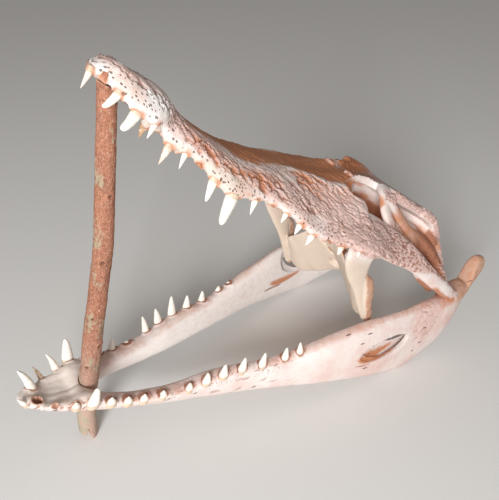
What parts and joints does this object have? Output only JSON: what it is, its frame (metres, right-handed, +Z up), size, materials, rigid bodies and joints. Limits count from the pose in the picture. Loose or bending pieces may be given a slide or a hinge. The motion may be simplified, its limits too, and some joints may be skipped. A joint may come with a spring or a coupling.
{
  "type": "crocodile skull",
  "caption": "Crocodile skull with its toothed jaws propped wide open by an upright branch, a still museum-style display model.",
  "frame": {"origin": "on the floor, under the middle of the whole specimen's box", "axes": "+Z up, +X from the snout towards the back of the head, +Y to the animal's right side"},
  "size_m": [0.5002, 0.1927, 0.3585],
  "materials": {
    "bone": "dry weathered bone, satin, wrinkled and pitted, with brown stains",
    "tooth": "tooth enamel, smooth satin, yellow to brown at the neck",
    "bark": "rough reddish-brown bark with grey-green lichen"
  },
  "bodies": {
    "root": {"premaxilla": "bone", "maxilla": "bone", "braincase": "bone", "cheek_arch_left": "bone", "cheek_arch_right": "bone", "pterygoid_left": "bone", "pterygoid_right": "bone", "lower_jaw_left": "bone", "lower_jaw_right": "bone", "prop_branch": "bark"}
  },
  "joints": []
}
